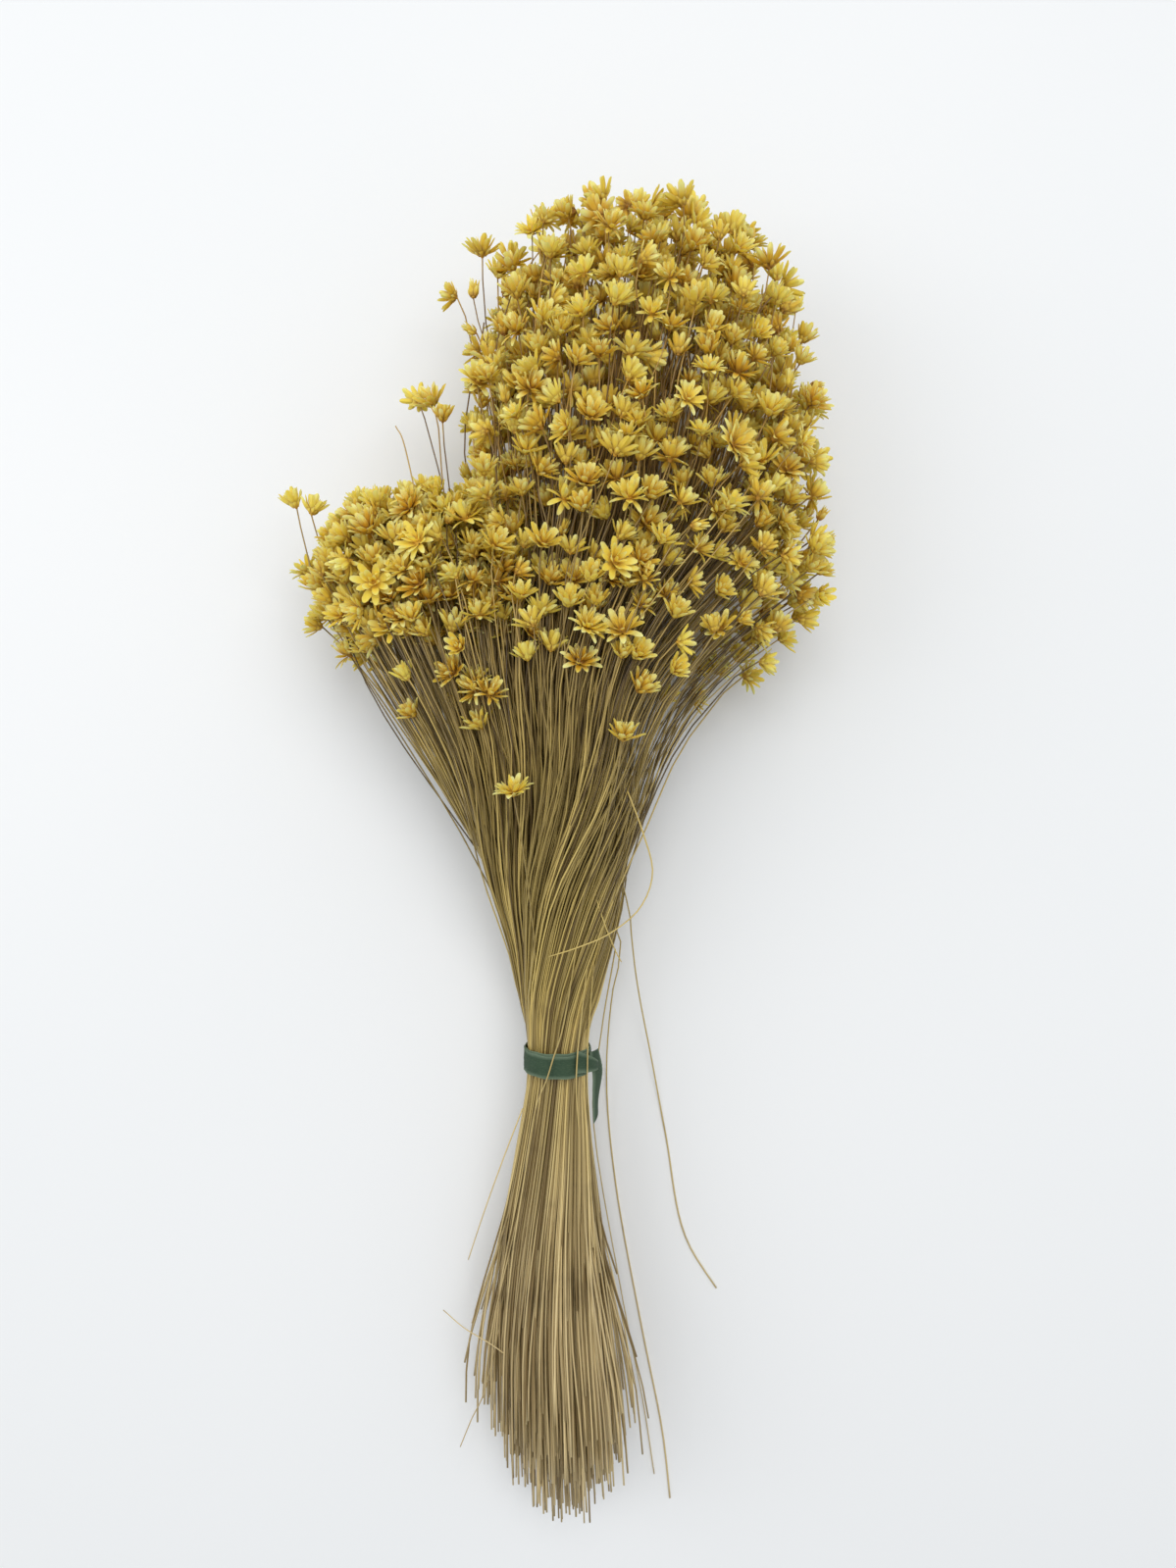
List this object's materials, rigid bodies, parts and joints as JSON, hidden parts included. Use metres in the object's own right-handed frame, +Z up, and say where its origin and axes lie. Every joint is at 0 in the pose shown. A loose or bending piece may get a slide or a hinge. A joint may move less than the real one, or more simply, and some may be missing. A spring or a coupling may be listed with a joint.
{
  "type": "bunch of dried flowers",
  "caption": "Tied sheaf of dried yellow star flowers lying on its side: thin wiry stems through a green tape tie, opening into a tall and a short dome of small papery heads.",
  "frame": {"origin": "on the surface that the bunch lies on, under the middle of its bounding box", "axes": "+Y along the bunch from the cut ends to the flowers, +X across it to the right as seen from above with the flowers away from the viewer, +Z up"},
  "size_m": [0.2368, 0.5448, 0.1022],
  "materials": {
    "dried_stem": "dry wiry plant stem, straw gold to olive brown, faintly glossy",
    "dried_flower": "matt papery bracts, lemon yellow at the tips, ochre to brown at the base, thin enough to let some light through",
    "green_tape": "flat matt dark green binding tape"
  },
  "bodies": {
    "root": {"stem_bundle_01": "dried_stem", "stem_bundle_02": "dried_stem", "stem_bundle_03": "dried_stem", "stem_bundle_04": "dried_stem", "stem_bundle_05": "dried_stem", "stem_bundle_06": "dried_stem", "stem_bundle_07": "dried_stem", "stem_bundle_08": "dried_stem", "stem_bundle_09": "dried_stem", "stem_bundle_10": "dried_stem", "stem_bundle_11": "dried_stem", "stem_bundle_12": "dried_stem", "stem_bundle_13": "dried_stem", "stem_bundle_14": "dried_stem", "stem_bundle_15": "dried_stem", "stem_bundle_16": "dried_stem", "stem_bundle_17": "dried_stem", "stem_bundle_18": "dried_stem", "stem_bundle_19": "dried_stem", "stem_bundle_20": "dried_stem", "stem_bundle_21": "dried_stem", "stem_bundle_22": "dried_stem", "stem_bundle_23": "dried_stem", "stem_bundle_24": "dried_stem", "flower_cluster_01": "dried_flower", "flower_cluster_02": "dried_flower", "flower_cluster_03": "dried_flower", "flower_cluster_04": "dried_flower", "flower_cluster_05": "dried_flower", "flower_cluster_06": "dried_flower", "flower_cluster_07": "dried_flower", "flower_cluster_08": "dried_flower", "flower_cluster_09": "dried_flower", "flower_cluster_10": "dried_flower", "flower_cluster_11": "dried_flower", "flower_cluster_12": "dried_flower", "flower_cluster_13": "dried_flower", "flower_cluster_14": "dried_flower", "flower_cluster_15": "dried_flower", "flower_cluster_16": "dried_flower", "flower_cluster_17": "dried_flower", "flower_cluster_18": "dried_flower", "flower_cluster_19": "dried_flower", "flower_cluster_20": "dried_flower", "flower_cluster_21": "dried_flower", "flower_cluster_22": "dried_flower", "flower_cluster_23": "dried_flower", "flower_cluster_24": "dried_flower", "loose_flower_1": "dried_flower", "loose_flower_2": "dried_flower", "loose_flower_3": "dried_flower", "loose_flower_4": "dried_flower", "loose_flower_5": "dried_flower", "loose_flower_6": "dried_flower", "loose_stem_1": "dried_stem", "loose_stem_2": "dried_stem", "tie_band": "green_tape", "tie_fold": "green_tape", "tie_tail": "green_tape"}
  },
  "joints": []
}
